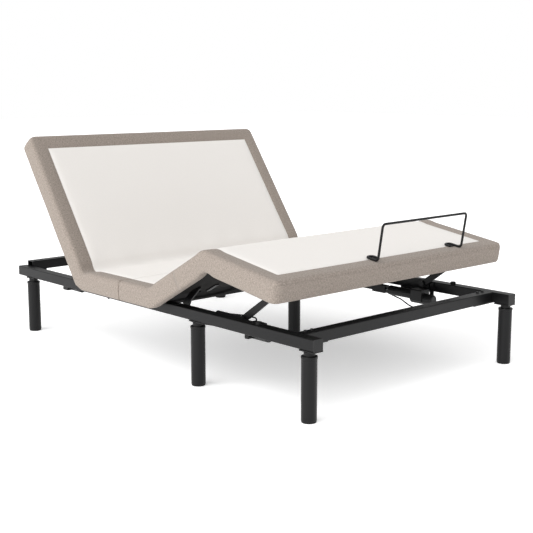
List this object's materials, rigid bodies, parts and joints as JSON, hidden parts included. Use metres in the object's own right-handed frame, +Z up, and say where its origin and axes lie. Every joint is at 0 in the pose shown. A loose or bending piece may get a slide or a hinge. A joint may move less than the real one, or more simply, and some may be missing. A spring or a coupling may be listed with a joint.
{
  "type": "adjustable bed base",
  "caption": "Upholstered adjustable bed base on cylindrical legs, with raised head, seat, thigh and foot sections, steel frame and mattress retainer bar.",
  "frame": {"origin": "on the floor, midway along and across the undercarriage", "axes": "+X towards the foot end, +Y towards the far side of the bed, +Z up"},
  "size_m": [2.08, 1.372, 0.9711],
  "materials": {
    "deck_fabric": "matte",
    "plywood": "matte",
    "black_steel": "satin",
    "hinge_steel": "satin",
    "zinc_steel": "satin",
    "black_plastic": "matte",
    "strip_plastic": "matte",
    "black_rubber": "matte",
    "cable_sheath": "matte"
  },
  "bodies": {
    "frame": {"side_rail_near": "black_steel", "side_rail_far": "black_steel", "cross_rail_head": "black_steel", "cross_rail_mid": "black_steel", "cross_rail_foot": "black_steel", "rail_end_caps": "black_plastic", "corner_gussets": "black_steel", "head_rail_spacers": "black_steel", "cross_rail_bolts": "black_steel", "leg_tubes": "black_steel", "leg_collars": "black_steel", "leg_studs": "black_steel", "leg_plates": "black_steel", "leg_feet": "black_rubber", "rest_bumpers": "black_rubber", "seat_risers": "black_steel", "seat_cushion_head_half": "deck_fabric", "seat_cushion_foot_half": "deck_fabric", "seat_board_head_half": "plywood", "seat_board_foot_half": "plywood", "seat_hinge_leaves": "hinge_steel", "seat_hinge_pins": "zinc_steel", "actuator_tubes": "black_plastic", "actuator_motors": "black_plastic", "motor_brackets": "black_steel", "arm_brackets": "black_steel", "arm_pivot_pins": "black_steel", "control_box": "black_plastic", "power_inlet": "black_plastic", "control_box_straps": "black_steel", "foot_motor_cable_near": "cable_sheath", "foot_motor_cable_far": "cable_sheath", "head_motor_cable_near": "cable_sheath", "head_motor_cable_far": "cable_sheath"},
    "head_section": {"head_cushion": "deck_fabric", "head_board": "plywood", "head_hinge_leaves": "hinge_steel", "head_levers": "black_steel"},
    "thigh_section": {"thigh_cushion": "deck_fabric", "thigh_board": "plywood", "thigh_hinge_leaves": "hinge_steel", "knee_hinge_pins": "zinc_steel", "thigh_levers": "black_steel"},
    "foot_section": {"foot_cushion": "deck_fabric", "foot_board": "plywood", "foot_hinge_leaves": "hinge_steel", "roller_strips": "strip_plastic", "retainer_bar": "black_steel", "retainer_clips": "black_plastic"},
    "head_rod_near": {"head_actuator_rod_near": "zinc_steel"},
    "head_rod_far": {"head_actuator_rod_far": "zinc_steel"},
    "foot_rod_near": {"foot_actuator_rod_near": "zinc_steel"},
    "foot_rod_far": {"foot_actuator_rod_far": "zinc_steel"},
    "support_arms": {"foot_support_arms": "black_steel"},
    "roller_near": {"foot_roller_near": "black_plastic"},
    "roller_far": {"foot_roller_far": "black_plastic"}
  },
  "joints": [
    {"name": "head_hinge", "type": "hinge", "parent": "frame", "child": "head_section", "pos_m": [-0.3645, 0, 0.36], "axis": [0, 1, 0], "range_deg": [-55, 5]},
    {"name": "thigh_hinge", "type": "hinge", "parent": "frame", "child": "thigh_section", "pos_m": [0.1475, 0, 0.36], "axis": [0, -1, 0], "range_deg": [-29, 7]},
    {"name": "knee_hinge", "type": "hinge", "parent": "thigh_section", "child": "foot_section", "pos_m": [0.50172, 0, 0.55635], "axis": [0, -1, 0], "range_deg": [-9.3, 38.2]},
    {"name": "support_arm_pivot", "type": "hinge", "parent": "frame", "child": "support_arms", "pos_m": [0.585, 0, 0.3005], "axis": [0, -1, 0], "range_deg": [-40.2, 9.8]},
    {"name": "roller_near_spin", "type": "hinge", "parent": "support_arms", "child": "roller_near", "pos_m": [0.77352, 0, 0.43226], "axis": [0, 1, 0], "continuous": true},
    {"name": "roller_far_spin", "type": "hinge", "parent": "support_arms", "child": "roller_far", "pos_m": [0.77352, 0, 0.43226], "axis": [0, 1, 0], "continuous": true},
    {"name": "head_rod_near_slide", "type": "slide", "parent": "frame", "child": "head_rod_near", "axis": [-1, 0, 0], "range_m": [-0.1095, 0.0101]},
    {"name": "foot_rod_near_slide", "type": "slide", "parent": "frame", "child": "foot_rod_near", "axis": [1, 0, 0], "range_m": [-0.0544, 0.0132]},
    {"name": "head_rod_far_slide", "type": "slide", "parent": "frame", "child": "head_rod_far", "axis": [-1, 0, 0], "range_m": [-0.1095, 0.0101]},
    {"name": "foot_rod_far_slide", "type": "slide", "parent": "frame", "child": "foot_rod_far", "axis": [1, 0, 0], "range_m": [-0.0544, 0.0132]}
  ],
  "couplings": [
    {"joint": "knee_hinge", "follows": "thigh_hinge", "ratio": -1.3103},
    {"joint": "support_arm_pivot", "follows": "thigh_hinge", "ratio": 1.38},
    {"joint": "head_rod_near_slide", "follows": "head_hinge", "m_per_rad": 0.1139},
    {"joint": "foot_rod_near_slide", "follows": "thigh_hinge", "m_per_rad": 0.1073},
    {"joint": "head_rod_far_slide", "follows": "head_hinge", "m_per_rad": 0.1139},
    {"joint": "foot_rod_far_slide", "follows": "thigh_hinge", "m_per_rad": 0.1073}
  ]
}
